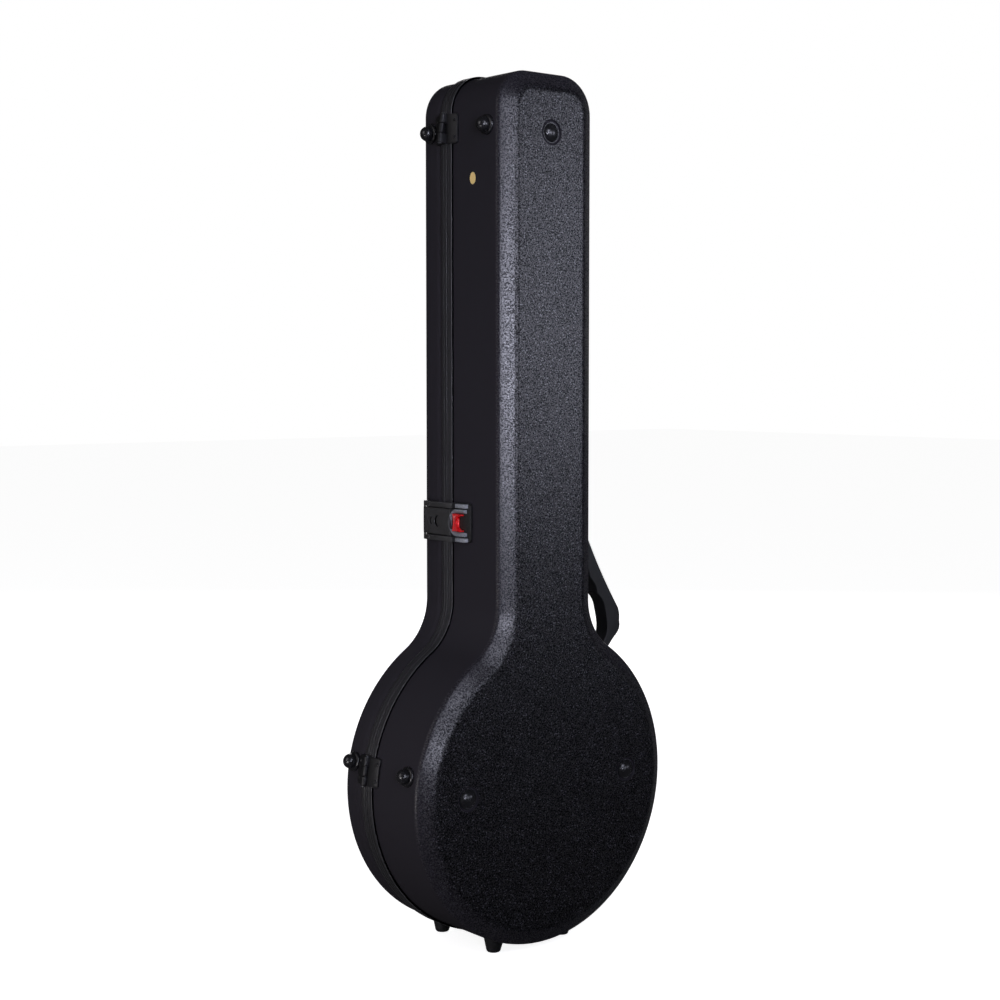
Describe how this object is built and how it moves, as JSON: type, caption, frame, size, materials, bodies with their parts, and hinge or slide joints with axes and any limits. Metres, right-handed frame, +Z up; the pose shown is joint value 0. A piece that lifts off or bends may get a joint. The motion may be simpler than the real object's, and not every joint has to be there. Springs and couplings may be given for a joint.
{
  "type": "banjo case",
  "caption": "Moulded hard case for a banjo: round pot and long neck, deep base shell, hinged lid, lever latches, carrying handle and plush inside.",
  "frame": {"origin": "on the ground, below the middle of the standing case", "axes": "+Z up the neck, +Y towards the lid, +X to the handle side when the back face of the deep base is looked at"},
  "size_m": [0.4088, 0.1696, 1.061],
  "materials": {
    "shell": "black ABS, pebble grain on the faces, fine grain on the sides",
    "valance": "black satin trim extrusion",
    "hinge": "black painted steel",
    "pin": "plain steel rod",
    "rubber": "glossy black moulded feet and studs",
    "handle": "black moulded grip",
    "latch_black": "dark moulded plastic",
    "latch_grey": "blue-grey moulded plastic",
    "latch_red": "red moulded plastic",
    "plush": "black plush over foam"
  },
  "bodies": {
    "base": {"base_shell": "shell", "base_valance": "valance", "hinge_upper_base_leaf": "hinge", "hinge_upper_pin": "pin", "hinge_lower_base_leaf": "hinge", "hinge_lower_pin": "pin", "stud_upper_base": "rubber", "stud_lower_base": "rubber", "back_foot_left": "rubber", "back_foot_right": "rubber", "back_foot_top": "rubber", "end_foot_base_left": "rubber", "end_foot_base_right": "rubber", "latch_left_catch": "latch_grey", "latch_right_upper_catch": "latch_grey", "latch_right_middle_catch": "latch_grey", "latch_pot_catch": "latch_grey", "handle_bracket_lower": "handle", "handle_bracket_upper": "handle", "handle_pin_lower": "pin", "handle_pin_upper": "pin", "base_lining": "plush", "neck_cradle_lower": "plush", "neck_cradle_upper": "plush", "head_block": "plush", "compartment_box": "plush", "compartment_pin": "pin"},
    "lid": {"lid_shell": "shell", "lid_valance": "valance", "hinge_upper_lid_leaf": "hinge", "hinge_lower_lid_leaf": "hinge", "stud_upper_lid": "rubber", "stud_lower_lid": "rubber", "end_foot_lid_left": "rubber", "end_foot_lid_right": "rubber", "latch_left_frame": "latch_black", "latch_left_pin": "pin", "latch_right_upper_frame": "latch_black", "latch_right_upper_pin": "pin", "latch_right_middle_frame": "latch_black", "latch_right_middle_pin": "pin", "latch_pot_frame": "latch_black", "latch_pot_pin": "pin", "lid_lining": "plush"},
    "lever_left": {"latch_left_lever": "latch_black"},
    "lever_right_upper": {"latch_right_upper_lever": "latch_black"},
    "lever_right_middle": {"latch_right_middle_lever": "latch_black"},
    "lever_pot": {"latch_pot_lever": "latch_black"},
    "button_left": {"latch_left_button": "latch_red"},
    "button_right_upper": {"latch_right_upper_button": "latch_red"},
    "button_right_middle": {"latch_right_middle_button": "latch_red"},
    "button_pot": {"latch_pot_button": "latch_red"},
    "handle": {"handle_grip": "handle"},
    "compartment_lid": {"compartment_lid": "plush"}
  },
  "joints": [
    {"name": "lid_hinge", "type": "hinge", "parent": "base", "child": "lid", "pos_m": [-0.19873, 0.02525, 0.23212], "axis": [0.1498, 0, 0.9887], "range_deg": [0, 105]},
    {"name": "lever_left_hinge", "type": "hinge", "parent": "lid", "child": "lever_left", "pos_m": [-0.07905, 0.06625, 0.523], "axis": [0, 0, -1], "range_deg": [0, 100]},
    {"name": "lever_right_upper_hinge", "type": "hinge", "parent": "lid", "child": "lever_right_upper", "pos_m": [0.07905, 0.06625, 0.903], "axis": [0, 0, 1], "range_deg": [0, 100]},
    {"name": "lever_right_middle_hinge", "type": "hinge", "parent": "lid", "child": "lever_right_middle", "pos_m": [0.07905, 0.06625, 0.658], "axis": [0, 0, 1], "range_deg": [0, 100]},
    {"name": "lever_pot_hinge", "type": "hinge", "parent": "lid", "child": "lever_pot", "pos_m": [0.19343, 0.06625, 0.15017], "axis": [0.2588, 0, 0.9659], "range_deg": [0, 100]},
    {"name": "button_left_slide", "type": "slide", "parent": "base", "child": "button_left", "axis": [0, -1, 0], "range_m": [0, 0.004]},
    {"name": "button_right_upper_slide", "type": "slide", "parent": "base", "child": "button_right_upper", "axis": [0, -1, 0], "range_m": [0, 0.004]},
    {"name": "button_right_middle_slide", "type": "slide", "parent": "base", "child": "button_right_middle", "axis": [0, -1, 0], "range_m": [0, 0.004]},
    {"name": "button_pot_slide", "type": "slide", "parent": "base", "child": "button_pot", "axis": [0, -1, 0], "range_m": [0, 0.004]},
    {"name": "handle_swing", "type": "hinge", "parent": "base", "child": "handle", "pos_m": [0.14849, -0.00675, 0.35049], "axis": [-0.2789, 0, 0.9603], "range_deg": [-75, 75]},
    {"name": "compartment_lid_hinge", "type": "hinge", "parent": "base", "child": "compartment_lid", "pos_m": [0, -0.03325, 0.6945], "axis": [1, 0, 0], "range_deg": [0, 90]}
  ]
}
